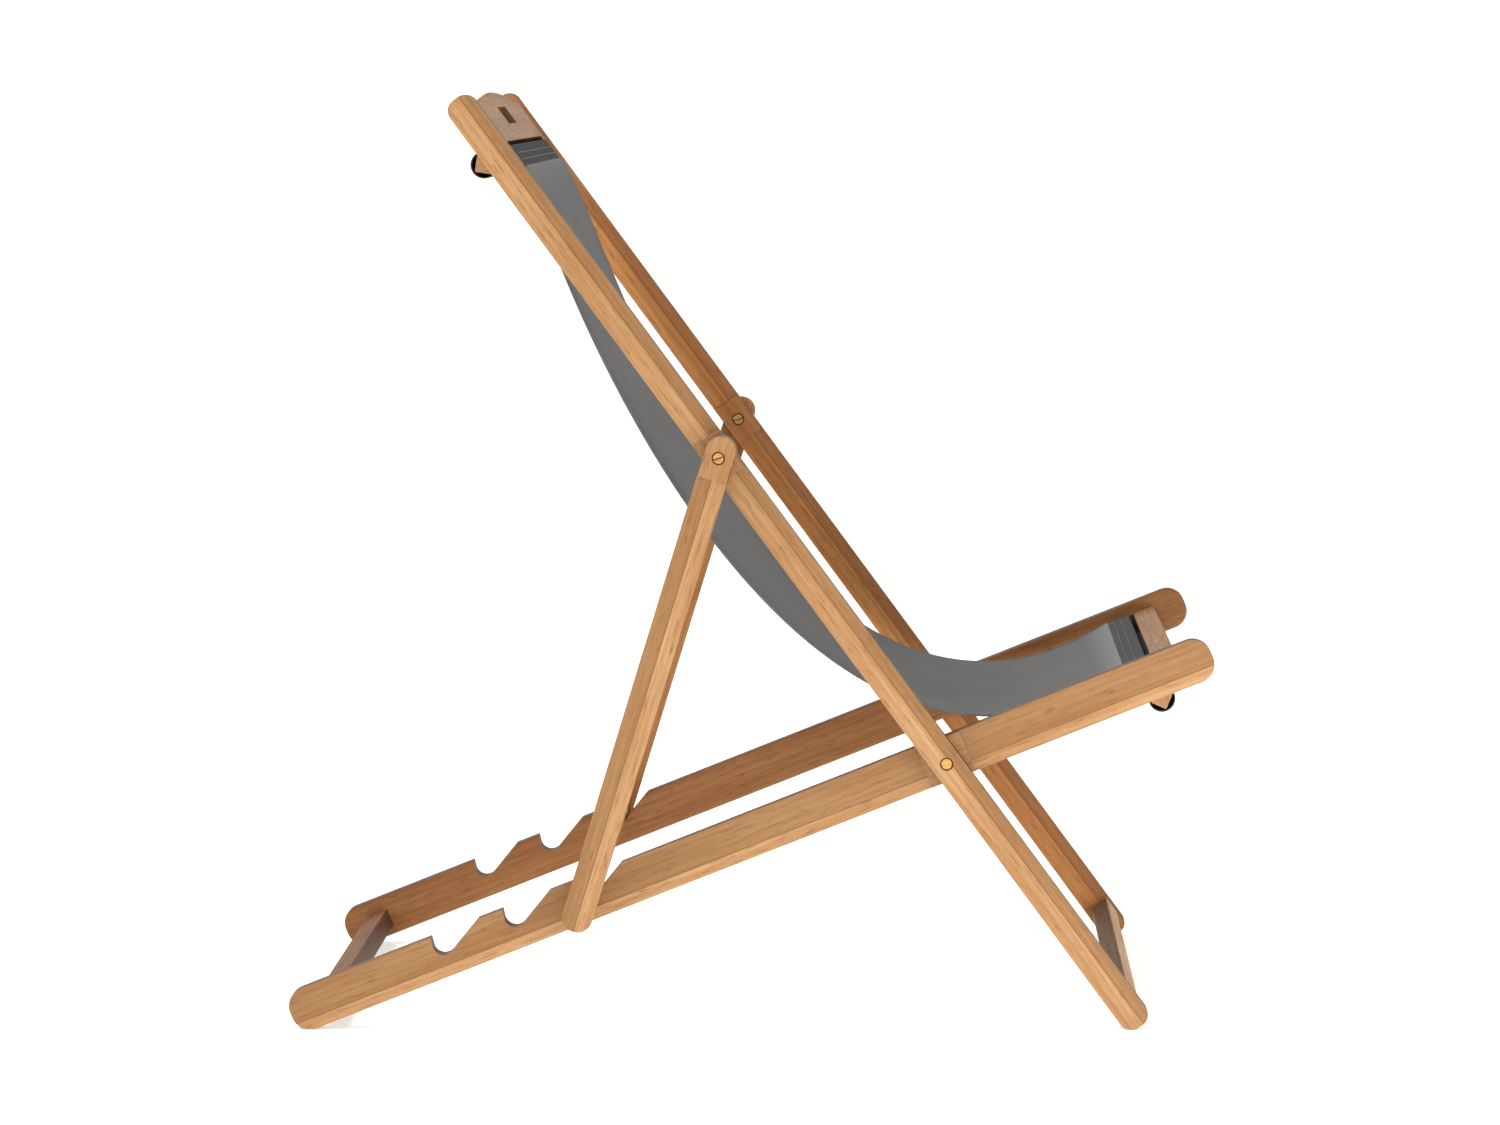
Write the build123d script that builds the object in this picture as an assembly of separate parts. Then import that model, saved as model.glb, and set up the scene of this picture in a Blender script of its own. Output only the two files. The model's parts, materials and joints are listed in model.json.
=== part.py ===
"""Folding teak deck chair with a woven sling, in millimetres.

Three timber frames turn on brass barrel bolts.  From the outside in they are the prop frame,
the back frame and the seat frame.  The prop frame's dowel rests in a pair of notches in the
seat rails, and the sling hangs between the head board and the front board.

+Z is up, X is the width, the sitter faces -Y.  The origin is the middle of the footprint.
"""

from build123d import *
from math import acos, asin, atan2, cos, degrees, hypot, radians, sin
import os

# ---------------------------------------------------------------- driving dimensions
seat_inside = 436.0  # clear width between the seat rails
timber = 20.0  # thickness of every rail and leg, across the chair
frame_gap = 1.0  # gap between neighbouring frames, filled by a washer

pivot_to_head = 857.0  # crossing pivot to the top end of a back rail
pivot_to_foot = 344.0  # crossing pivot to the bottom end of a back rail
pivot_to_prop = 399.0  # crossing pivot to the prop pivot
pivot_to_front = 298.5  # crossing pivot to the front end of a seat rail
pivot_to_rear = 746.0  # crossing pivot to the rear end of a seat rail
pivot_to_notch = 402.0  # crossing pivot to the nearest notch
prop_reach = 480.0  # prop pivot to dowel

back_width = 32.0
back_end_radius = min(13.0, 0.45 * back_width)
back_ridge = 4.5  # height of the ridge line above the rail's middle
seat_width = 46.0
seat_end_radius = min(20.0, 0.45 * seat_width)
seat_ridge = -10.0  # height of the ridge line above the rail's middle
pivot_drop = 2.0  # crossing pivot below the middle of the seat rail
leg_width = 32.0
leg_top_overhang = 8.0  # prop pivot to the centre of the leg's round top
leg_foot_overhang = 24.2  # dowel to the centre of the leg's round bottom
facet_fall = 3.2  # how far each planed facet falls from the ridge to the edge
leg_facet_fall = 2.6
edge_round = 1.8  # rounding of the long edges
flat_half = 24.0  # half length of the flat left at a pivot

dowel_diameter = 22.0
dowel_clearance = 1.0  # notch radius over dowel radius
dowel_lift = 0.3  # dowel's underside above the bottom of its notch
dowel_tenon_diameter = 15.0
dowel_tenon_depth = 13.0
notch_count = 3
notch_pitch = 82.0
notch_depth = 23.0  # rail's top edge to the bottom of a notch
notch_ramp = 44.0  # notch centre to the top of its ramp
notch_hook = 1.5  # how far the rear wall leans over the dowel

head_board_end = 19.0  # rail's top end to the board's corners
head_board_width = 81.0  # along the back rail, at the corners
head_board_crest = 19.0  # rise of the arched top over the corners
head_board_thickness = 19.0
head_board_setback = 3.0  # board's face behind the rail's front edge
hand_hole_width = 90.0
hand_hole_height = 22.0
hand_hole_fall = 13.5  # board's corners to the hole's centre
hand_hole_radius = 4.0

front_board_end = 34.5  # rail's front end to the board
front_board_width = 56.0
front_board_thickness = 23.0
front_board_setback = 13.0  # board's face below the rail's top edge

rear_stretcher_width = 26.0
rear_stretcher_thickness = 22.0
rear_stretcher_end = 28.0  # from the rail's rear end
rear_stretcher_setback = 15.0
bottom_stretcher_width = 21.0
bottom_stretcher_thickness = 22.0
bottom_stretcher_setback = 2.0
front_end_clearance = 3.5  # seat rail's front end to the bottom stretcher when folded

tenon_depth = 14.0
tenon_shoulder = 4.0  # wood left on each side of a tenon
wood_fit = 0.1  # gap between a tenon or dowel and its hole
board_round = 2.0

slot_width = 7.6
head_slot_rise = 32.1  # head board's lower edge to its slot
front_slot_back = 27.2  # front board's rear edge to its slot
sling_width = 420.0
sling_thickness = 1.2
sling_in_slot = 2.0  # sling's middle off the slot's middle, towards the sitter
slot_spare = 3.0  # slot longer than the sling is wide, each side
sling_lift = 0.3  # gap between the sling and the wood
stick_side = 17.0
stick_round = 1.5
stick_play = 1.7  # gap between the stick's corners and the sleeve
sling_head_dip = 21.4  # degrees the sling falls behind the back rail at the head board
sling_head_pull = 200.0
sling_front_dip = 10.5  # degrees the sling falls below the seat rail at the front board
sling_front_pull = 379.0
sling_steps = 28

bolt_head_diameter = 12.4
bolt_head_thickness = 2.6
counterbore_gap = 0.8  # ring of air round a bolt head
head_sink = 0.4  # bolt head below the flat it sits in
crossing_head_sink = 2.0
barrel_diameter = 8.0
shank_diameter = 5.8
pivot_clearance = 0.05  # radial, between a barrel and the wood that turns on it
thread_gap = 0.02
barrel_short = 1.0  # barrel's tip short of the bolt head's underside
driver_slot_width = 1.4
driver_slot_depth = 0.9
driver_slot_turn = 55.0  # degrees
washer_diameter = 19.0
washer_play = 0.05

# ---------------------------------------------------------------- places across the chair
seat_in = seat_inside / 2
seat_out = seat_in + timber
back_in = seat_out + frame_gap
back_out = back_in + timber
leg_in = back_out + frame_gap
leg_out = leg_in + timber

# ---------------------------------------------------------------- linkage and stance
seat_top = seat_width / 2 + pivot_drop  # rail's top edge above the crossing pivot
seat_bottom = seat_top - seat_width
notch_radius = dowel_diameter / 2 + dowel_clearance
notch_height = seat_top - notch_depth + notch_radius
dowel_height = notch_height - dowel_clearance + dowel_lift
dowel_distance = hypot(pivot_to_notch, dowel_height)
opening = degrees(
    acos(
        (pivot_to_prop**2 + dowel_distance**2 - prop_reach**2)
        / (2 * pivot_to_prop * dowel_distance)
    )
) + degrees(atan2(dowel_height, pivot_to_notch))

# both frames stand on round corners, so the rest angle makes those corners level
seat_corner = (pivot_to_rear - seat_end_radius, seat_bottom + seat_end_radius)
foot_corner = (-(pivot_to_foot - back_end_radius), -(back_width / 2 - back_end_radius))


def turned(point, angle):
    """A (u, v) point turned by an angle in degrees."""
    a = radians(angle)
    return (point[0] * cos(a) - point[1] * sin(a), point[0] * sin(a) + point[1] * cos(a))


foot_in_seat = turned(foot_corner, opening)
span = (seat_corner[0] - foot_in_seat[0], seat_corner[1] - foot_in_seat[1])
seat_angle = degrees(
    asin((seat_end_radius - back_end_radius) / hypot(*span)) - atan2(span[1], span[0])
)
back_angle = seat_angle + opening

# the crossing pivot's place: feet on the ground, seat rail centred over the origin
pivot_z = seat_end_radius - turned(seat_corner, seat_angle)[1]
rear_corner = (pivot_to_rear - seat_end_radius, seat_top - seat_end_radius)
front_corner = (seat_end_radius - pivot_to_front, seat_bottom + seat_end_radius)
rear_y = turned(rear_corner, seat_angle)[0] + seat_end_radius
front_y = turned(front_corner, seat_angle)[0] - seat_end_radius
pivot_y = -(rear_y + front_y) / 2


def frame_plane(y, z, angle):
    """Plane whose x runs along a rail and whose z runs across the chair."""
    a = radians(angle)
    return Plane(origin=(0, y, z), x_dir=(0, cos(a), sin(a)), z_dir=(1, 0, 0))


seat_plane = frame_plane(pivot_y, pivot_z, seat_angle)
back_plane = frame_plane(pivot_y, pivot_z, back_angle)
prop_at = turned((pivot_to_prop, 0), back_angle)
dowel_at = turned((pivot_to_notch, dowel_height), seat_angle)
prop_angle = degrees(atan2(dowel_at[1] - prop_at[1], dowel_at[0] - prop_at[0]))
prop_plane = frame_plane(pivot_y + prop_at[0], pivot_z + prop_at[1], prop_angle)


# ---------------------------------------------------------------- shared shapes
def block(u0, u1, v0, v1, x0, x1):
    """Box between two corners."""
    size = (u1 - u0, v1 - v0, x1 - x0)
    return Pos((u0 + u1) / 2, (v0 + v1) / 2, (x0 + x1) / 2) * Box(*size)


def disc(u, v, radius, x0, x1):
    """Cylinder across the chair."""
    return Pos(u, v, (x0 + x1) / 2) * Cylinder(radius, x1 - x0)


def rail_blank(u0, u1, v0, v1, x0, x1, end_radius):
    """Rail with rounded ends and softened long edges."""
    outline = RectangleRounded(u1 - u0, v1 - v0, end_radius)
    blank = extrude(Pos((u0 + u1) / 2, (v0 + v1) / 2, x0) * outline, x1 - x0)
    rims = blank.faces().filter_by(Axis.Z).edges()
    return fillet(rims, edge_round)


def planed(rail, u0, u1, v0, v1, ridge, x_face, side, fall):
    """Planes two facets, falling away from the ridge, into one face of a rail."""
    low = x_face - side * fall
    top = x_face + side * fall
    section = make_face(
        Polyline((v0, low), (ridge, x_face), (v1, low), (v1, top), (v0, top), close=True)
    )
    return rail - Pos(u0, 0, 0) * extrude(Plane.YZ * section, u1 - u0)


def planed_between(rail, stops, v0, v1, ridge, x_face, side, fall):
    """Planes the facets in each (start, end) span and leaves the flats between them."""
    for start, end in stops:
        rail = planed(rail, start, end, v0, v1, ridge, x_face, side, fall)
    return rail


def tenoned(u0, u1, v0, v1, half):
    """Board with softened edges and a stub tenon at each end."""
    board = block(u0, u1, v0, v1, -half, half)
    board = fillet(board.edges().filter_by(Axis.Z), board_round)
    reach = half + tenon_depth
    shoulder = tenon_shoulder
    return board + block(
        u0 + shoulder, u1 - shoulder, v0 + shoulder, v1 - shoulder, -reach, reach
    )


def mortise(u0, u1, v0, v1, half):
    """Hole in both rails for a board's tenons."""
    cut = tenon_shoulder - wood_fit
    deep = half + tenon_depth + wood_fit
    return block(u0 + cut, u1 - cut, v0 + cut, v1 - cut, -deep, deep)


def bolt(head_face, inner_end, side, slotted):
    """Bolt along the pivot: a round head and a shank, both centred on the axis."""
    under = head_face - side * bolt_head_thickness
    low, high = sorted((head_face, under))
    body = disc(0, 0, bolt_head_diameter / 2, low, high)
    outer_rim = body.edges().sort_by(Axis.Z)[-1 if side > 0 else 0]
    body = fillet(outer_rim, bolt_head_thickness / 4)
    low, high = sorted((under, inner_end))
    body += disc(0, 0, shank_diameter / 2, low, high)
    return slot_cut(body, head_face, side) if slotted else body


def barrel_nut(head_face, inner_end, side, slotted):
    """Nut with a round head and a long barrel, which is what the wood turns on."""
    under = head_face + side * bolt_head_thickness
    low, high = sorted((head_face, under))
    body = disc(0, 0, bolt_head_diameter / 2, low, high)
    outer_rim = body.edges().sort_by(Axis.Z)[0 if side > 0 else -1]
    body = fillet(outer_rim, bolt_head_thickness / 4)
    low, high = sorted((under, inner_end))
    body += disc(0, 0, barrel_diameter / 2, low, high)
    low, high = sorted((under, inner_end + side))
    body -= disc(0, 0, shank_diameter / 2 + thread_gap, low, high)
    return slot_cut(body, head_face, -side) if slotted else body


def slot_cut(body, head_face, side):
    """Screwdriver slot across a head."""
    low, high = sorted((head_face - side * driver_slot_depth, head_face + side))
    reach = bolt_head_diameter
    groove = block(-reach, reach, -driver_slot_width / 2, driver_slot_width / 2, low, high)
    return body - Rot(0, 0, driver_slot_turn) * groove


def bolt_holes(u, inner_face, outer_face, inner_sink, outer_sink, side):
    """Pivot hole through two timbers with a counterbore at each end."""
    low, high = sorted((inner_face - side, outer_face + side))
    hole = disc(u, 0, barrel_diameter / 2 + pivot_clearance, low, high)
    radius = bolt_head_diameter / 2 + counterbore_gap
    low, high = sorted((inner_face - side, inner_face + side * inner_sink))
    hole += disc(u, 0, radius, low, high)
    low, high = sorted((outer_face + side, outer_face - side * outer_sink))
    return hole + disc(u, 0, radius, low, high)


def washer(u, inner_face, side):
    """Flat washer in the gap between two frames."""
    outer_face = inner_face + side * frame_gap
    low, high = sorted((inner_face + side * washer_play, outer_face - side * washer_play))
    ring = disc(u, 0, washer_diameter / 2, low, high)
    return ring - disc(u, 0, barrel_diameter / 2 + pivot_clearance, low, high)


# ---------------------------------------------------------------- boards and stretchers
head_top = back_width / 2 - head_board_setback
head_board_side = pivot_to_head - head_board_end
head_board_bottom = head_board_side - head_board_width
head_board = (head_board_bottom, head_board_side, head_top - head_board_thickness, head_top)
head_slot = head_board_bottom + head_slot_rise
front_top = seat_top - front_board_setback
front_board_far = front_board_end - pivot_to_front
front_board_near = front_board_far + front_board_width
front_board = (
    front_board_far,
    front_board_near,
    front_top - front_board_thickness,
    front_top,
)
front_slot = front_board_near - front_slot_back
rear_top = seat_top - rear_stretcher_setback
rear_far = pivot_to_rear - rear_stretcher_end
rear_bar = (
    rear_far - rear_stretcher_width,
    rear_far,
    rear_top - rear_stretcher_thickness,
    rear_top,
)
bottom_top = back_width / 2 - bottom_stretcher_setback
bottom_near = -(pivot_to_front + front_end_clearance)
bottom_bar = (
    bottom_near - bottom_stretcher_width,
    bottom_near,
    bottom_top - bottom_stretcher_thickness,
    bottom_top,
)
slot_half = sling_width / 2 + slot_spare


def sling_slot(u, v0, v1):
    """Slot that the sling passes through."""
    return block(u - slot_width / 2, u + slot_width / 2, v0, v1, -slot_half, slot_half)


def make_head_board():
    """Board with an arched top, a hand hole and the sling's slot."""
    u0, u1, v0, v1 = head_board
    board = tenoned(u0, u1, v0, v1, back_in)
    arch = ThreePointArc((-back_in, 0), (0, head_board_crest), (back_in, 0))
    crown = make_face([arch, Line((back_in, 0), (-back_in, 0))])
    across = Plane(origin=(u1 - board_round, v0, 0), x_dir=(0, 0, 1), z_dir=(0, 1, 0))
    board += extrude(across * crown, v1 - v0)
    board += block(u1 - 2 * board_round, u1 - board_round, v0, v1, -back_in, back_in)
    u = head_board_side - hand_hole_fall
    hole = RectangleRounded(hand_hole_width, hand_hole_height, hand_hole_radius)
    across = Plane(origin=(u, v0 - 1, 0), x_dir=(0, 0, 1), z_dir=(0, 1, 0))
    board -= extrude(across * hole, v1 - v0 + 2)
    return board - sling_slot(head_slot, v0 - 1, v1 + 1)


def make_front_board():
    """Board that carries the front of the sling."""
    u0, u1, v0, v1 = front_board
    return tenoned(u0, u1, v0, v1, seat_in) - sling_slot(front_slot, v0 - 1, v1 + 1)


# ---------------------------------------------------------------- rails and prop frame
def notch_cutter(u):
    """Hook-shaped notch: round bottom, steep rear wall, long ramp on the front side."""
    r = notch_radius
    drop = seat_top - notch_height
    reach = hypot(notch_ramp, drop)
    lean = asin(r / reach) + atan2(drop, notch_ramp)
    touch = (u - r * sin(lean), notch_height - r * cos(lean))
    top = seat_top + edge_round
    foot = (u - notch_ramp, seat_top)
    rise = (top - seat_top) / sin(lean)
    past = (foot[0] - rise * cos(lean), top)
    wall_top = (u + r - notch_hook, seat_top)
    corners = (touch, past, (wall_top[0], top), wall_top, (u + r, notch_height), (u, notch_height))
    opening_face = make_face(Polyline(*corners, close=True)) + Pos(u, notch_height) * Circle(r)
    return extrude(Pos(0, 0, -leg_out) * opening_face, 2 * leg_out)


def make_seat_rail(side):
    """Seat rail: inner frame, with the notches in its rear half."""
    x0, x1 = sorted((side * seat_in, side * seat_out))
    u0, u1 = -pivot_to_front, pivot_to_rear
    rail = rail_blank(u0, u1, seat_bottom, seat_top, x0, x1, seat_end_radius)
    ridge = seat_ridge + pivot_drop
    stops = ((u0 - 1, -flat_half), (flat_half, u1 + 1))
    rail = planed_between(
        rail, stops, seat_bottom, seat_top, ridge, side * seat_out, side, facet_fall
    )
    for i in range(notch_count):
        rail -= notch_cutter(pivot_to_notch + i * notch_pitch)
    rail -= mortise(*front_board, seat_in)
    rail -= mortise(*rear_bar, seat_in)
    return rail - crossing_holes(side)


def make_back_rail(side):
    """Back rail: middle frame, from the head to the foot."""
    x0, x1 = sorted((side * back_in, side * back_out))
    u0, u1 = -pivot_to_foot, pivot_to_head
    half = back_width / 2
    rail = rail_blank(u0, u1, -half, half, x0, x1, back_end_radius)
    prop_flat = (pivot_to_prop - flat_half, pivot_to_prop + flat_half)
    outer_stops = ((u0 - 1, prop_flat[0]), (prop_flat[1], u1 + 1))
    rail = planed_between(
        rail, outer_stops, -half, half, back_ridge, side * back_out, side, facet_fall
    )
    board_flat = head_board_bottom - board_round
    bar_flat = bottom_near + board_round
    inner_stops = (
        (bar_flat, -flat_half),
        (flat_half, prop_flat[0]),
        (prop_flat[1], board_flat),
    )
    rail = planed_between(
        rail, inner_stops, -half, half, back_ridge, side * back_in, -side, facet_fall
    )
    rail -= mortise(*head_board, back_in)
    rail -= mortise(*bottom_bar, back_in)
    return rail - crossing_holes(side) - prop_holes(pivot_to_prop, side)


def make_prop_leg(side):
    """Prop leg: outer frame, round at both ends."""
    x0, x1 = sorted((side * leg_in, side * leg_out))
    half = leg_width / 2
    u0 = -leg_top_overhang - half
    u1 = prop_reach + leg_foot_overhang + half
    leg = rail_blank(u0, u1, -half, half, x0, x1, half - edge_round / 10)
    stops = ((flat_half, u1 + 1),)
    leg = planed_between(leg, stops, -half, half, 0, side * leg_out, side, leg_facet_fall)
    end = leg_in + dowel_tenon_depth + wood_fit
    leg -= disc(prop_reach, 0, dowel_tenon_diameter / 2 + wood_fit, -end, end)
    return leg - prop_holes(0, side)


def make_prop_dowel():
    """Dowel with a turned-down tenon at each end."""
    end = leg_in + dowel_tenon_depth
    rod = disc(prop_reach, 0, dowel_diameter / 2, -leg_in, leg_in)
    return rod + disc(prop_reach, 0, dowel_tenon_diameter / 2, -end, end)


# ---------------------------------------------------------------- pivots
nut_sink = head_sink + bolt_head_thickness


def crossing_holes(side):
    """Holes of the crossing pivot, through the seat rail and the back rail."""
    outer_sink = crossing_head_sink + bolt_head_thickness
    return bolt_holes(0, side * seat_in, side * back_out, nut_sink, outer_sink, side)


def prop_holes(u, side):
    """Holes of the prop pivot, through the back rail and the leg."""
    return bolt_holes(u, side * back_in, side * leg_out, nut_sink, nut_sink, side)


def crossing_parts(side):
    """Bolt, barrel nut and washer where the back rail crosses the seat rail."""
    head = side * (back_out - crossing_head_sink)
    nut = side * (seat_in + head_sink)
    barrel_end = head - side * (bolt_head_thickness + barrel_short)
    shank_end = nut + side * (bolt_head_thickness + barrel_short)
    return (
        bolt(head, shank_end, side, False),
        barrel_nut(nut, barrel_end, side, True),
        washer(0, side * seat_out, side),
    )


def prop_parts(side):
    """Bolt, barrel nut and washer where the leg hangs on the back rail."""
    head = side * (leg_out - head_sink)
    nut = side * (back_in + head_sink)
    barrel_end = head - side * (bolt_head_thickness + barrel_short)
    shank_end = nut + side * (bolt_head_thickness + barrel_short)
    return (
        bolt(head, shank_end, side, True),
        barrel_nut(nut, barrel_end, side, True),
        washer(0, side * back_out, side),
    )


# ---------------------------------------------------------------- sling and its sticks
stick_half_diagonal = stick_side / 2 * 2**0.5 - stick_round * (2**0.5 - 1)
sleeve_inner = stick_half_diagonal + stick_play
sleeve_outer = sleeve_inner + sling_thickness
sleeve_drop = sling_lift + sleeve_outer
head_fold = head_slot - sling_in_slot
front_fold = front_slot + sling_in_slot
head_sleeve_at = (head_fold, head_top - head_board_thickness - sleeve_drop)
front_sleeve_at = (front_fold, front_top - front_board_thickness - sleeve_drop)


def in_world(plane, u, v):
    """World (y, z) of a point given in a frame."""
    p = plane.from_local_coords(Vector(u, v, 0))
    return (p.Y, p.Z)


def sling_middle_line():
    """Side view of the sling: through one slot, over the hang, through the other slot."""
    skim = sling_lift + sling_thickness / 2
    head_edge = (head_board_bottom - board_round, head_top + skim)
    front_edge = (front_board_near + board_round, front_top + skim)
    a = in_world(back_plane, *head_edge)
    d = in_world(seat_plane, *front_edge)
    fall = turned((-1, 0), back_angle + sling_head_dip)
    climb = turned((1, 0), seat_angle - sling_front_dip)
    b = (a[0] + sling_head_pull * fall[0], a[1] + sling_head_pull * fall[1])
    c = (d[0] + sling_front_pull * climb[0], d[1] + sling_front_pull * climb[1])
    hang = Bezier(a, b, c, d)
    points = [
        in_world(back_plane, head_fold, head_sleeve_at[1] + sleeve_inner),
        in_world(back_plane, head_fold, head_top + skim),
    ]
    for i in range(sling_steps + 1):
        at = hang @ (i / sling_steps)
        points.append((at.X, at.Y))
    points += [
        in_world(seat_plane, front_fold, front_top + skim),
        in_world(seat_plane, front_fold, front_sleeve_at[1] + sleeve_inner),
    ]
    return points


def strip(points, thickness):
    """Closed outline of a line with thickness, with mitred corners."""
    left, right = [], []
    last = len(points) - 1
    for i, p in enumerate(points):
        before = points[max(i - 1, 0)]
        after = points[min(i + 1, last)]
        d1 = Vector(p[0] - before[0], p[1] - before[1])
        d2 = Vector(after[0] - p[0], after[1] - p[1])
        d1 = d1.normalized() if i > 0 else d2.normalized()
        d2 = d2.normalized() if i < last else d1
        normal = Vector(-(d1.Y + d2.Y), d1.X + d2.X).normalized()
        reach = thickness / 2 / max(normal.dot(Vector(-d1.Y, d1.X)), 0.3)
        left.append((p[0] + normal.X * reach, p[1] + normal.Y * reach))
        right.append((p[0] - normal.X * reach, p[1] - normal.Y * reach))
    return Polyline(*left, *reversed(right), close=True)


def make_sling():
    """Woven sling with a sleeve at each end, as one closed solid."""
    outline = make_face(strip(sling_middle_line(), sling_thickness))
    for plane, (u, v) in ((back_plane, head_sleeve_at), (seat_plane, front_sleeve_at)):
        centre = Pos(*in_world(plane, u, v))
        outline += centre * Circle(sleeve_outer)
        outline -= centre * Circle(sleeve_inner)
    side_view = Plane(origin=(-sling_width / 2, 0, 0), x_dir=(0, 1, 0), z_dir=(1, 0, 0))
    return extrude(side_view * outline, sling_width)


def make_stick(at):
    """Square stick that keeps a sleeve from pulling back through its slot."""
    section = Rot(0, 0, 45) * RectangleRounded(stick_side, stick_side, stick_round)
    half = sling_width / 2
    return extrude(Pos(at[0], at[1], -half) * section, 2 * half)


# ---------------------------------------------------------------- nodes
def collect():
    """Every node, placed in the chair's own frame."""
    crossing = {side: crossing_parts(side) for side in (-1, 1)}
    props = {side: prop_parts(side) for side in (-1, 1)}
    nodes = {
        "front_board": (seat_plane, make_front_board()),
        "rear_stretcher": (seat_plane, tenoned(*rear_bar, seat_in)),
        "front_stick": (seat_plane, make_stick(front_sleeve_at)),
        "head_board": (back_plane, make_head_board()),
        "bottom_stretcher": (back_plane, tenoned(*bottom_bar, back_in)),
        "head_stick": (back_plane, make_stick(head_sleeve_at)),
        "prop_dowel": (prop_plane, make_prop_dowel()),
    }
    for side, hand in ((-1, "right"), (1, "left")):
        nodes["seat_rail_" + hand] = (seat_plane, make_seat_rail(side))
        nodes["back_rail_" + hand] = (back_plane, make_back_rail(side))
        nodes["prop_leg_" + hand] = (prop_plane, make_prop_leg(side))
        for name, piece in zip(("bolt", "nut", "washer"), crossing[side]):
            nodes["crossing_" + name + "_" + hand] = (back_plane, piece)
        for name, piece in zip(("bolt", "nut", "washer"), props[side]):
            nodes["prop_" + name + "_" + hand] = (prop_plane, piece)
    placed = {name: plane.location * piece for name, (plane, piece) in nodes.items()}
    placed["sling"] = make_sling()
    return placed


os.makedirs("parts", exist_ok=True)
for name, piece in collect().items():
    export_step(piece, "parts/" + name + ".step")
print("seat angle %.2f, back angle %.2f, prop angle %.2f" % (seat_angle, back_angle, prop_angle))
print("crossing pivot y %.3f z %.3f" % (pivot_y, pivot_z))
print("prop pivot y %.3f z %.3f" % (pivot_y + prop_at[0], pivot_z + prop_at[1]))
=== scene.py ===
"""Looks of the folding teak deck chair, in metres: oiled teak, brass pivots and the woven sling.

+Z is up, X is the width and the sitter faces -Y.
"""

import bpy
import json
from math import atan2, cos, pi, radians, sin
from mathutils import Matrix, Vector


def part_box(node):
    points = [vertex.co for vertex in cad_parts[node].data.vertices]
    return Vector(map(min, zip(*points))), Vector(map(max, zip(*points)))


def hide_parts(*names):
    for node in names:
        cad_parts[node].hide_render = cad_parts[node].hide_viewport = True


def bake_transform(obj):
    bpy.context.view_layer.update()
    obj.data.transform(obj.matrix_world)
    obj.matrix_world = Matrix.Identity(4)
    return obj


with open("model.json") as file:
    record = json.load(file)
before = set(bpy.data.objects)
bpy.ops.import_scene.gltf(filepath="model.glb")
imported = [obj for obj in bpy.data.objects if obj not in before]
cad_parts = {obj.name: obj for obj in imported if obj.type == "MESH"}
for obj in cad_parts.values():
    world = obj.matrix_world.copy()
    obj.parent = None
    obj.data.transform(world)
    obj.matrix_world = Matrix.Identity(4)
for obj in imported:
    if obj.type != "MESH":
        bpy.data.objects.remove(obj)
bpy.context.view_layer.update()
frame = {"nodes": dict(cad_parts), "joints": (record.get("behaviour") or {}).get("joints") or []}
MM = 0.001

# ---------------------------------------------------------------- the chair's own lines
joints = {joint["name"]: joint for joint in frame["joints"]}
crossing = Vector(joints["back_fold"]["pos_m"])
prop_pivot = Vector(joints["prop_fold"]["pos_m"])
dowel = sum(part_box("prop_dowel"), Vector()) / 2
head_stick = sum(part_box("head_stick"), Vector()) / 2
front_stick = sum(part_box("front_stick"), Vector()) / 2
back_tilt = atan2(prop_pivot.z - crossing.z, prop_pivot.y - crossing.y)
prop_tilt = atan2(dowel.z - prop_pivot.z, dowel.y - prop_pivot.y)
seat_tilt = radians(-21.21)  # the seat rails rise towards the front


def from_frame(tilt, u, v):
    """Point on the middle plane, u along a rail from the crossing pivot and v above it."""
    y = crossing.y + u * cos(tilt) - v * sin(tilt)
    z = crossing.z + u * sin(tilt) + v * cos(tilt)
    return Vector((0, y, z))


def in_frame(tilt, point):
    """(u, v) of a point on the middle plane."""
    y, z = point.y - crossing.y, point.z - crossing.z
    return y * cos(tilt) + z * sin(tilt), z * cos(tilt) - y * sin(tilt)


# ---------------------------------------------------------------- node helpers
def linear(colour):
    """Linear colour from an sRGB hex value."""
    parts = [int(colour[i : i + 2], 16) / 255 for i in (1, 3, 5)]
    parts = [p / 12.92 if p <= 0.04045 else ((p + 0.055) / 1.055) ** 2.4 for p in parts]
    return (*parts, 1)


def node(tree, kind, sockets=None, **settings):
    """Adds a node, with its settings, its sockets' values and its links."""
    made = tree.nodes.new(kind)
    for name, value in settings.items():
        setattr(made, name, value)
    for key, value in (sockets or {}).items():
        if isinstance(value, bpy.types.NodeSocket):
            tree.links.new(value, made.inputs[key])
        else:
            made.inputs[key].default_value = value
    return made


def new_material(name):
    """Empty material with its output, ready for a shader."""
    material = bpy.data.materials.new(name)
    material.use_nodes = True
    tree = material.node_tree
    tree.nodes.clear()
    return material, tree, node(tree, "ShaderNodeOutputMaterial")


def bands(spacing):
    """Wave texture scale that puts its lines this many metres apart."""
    return pi / 10 / spacing


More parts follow.
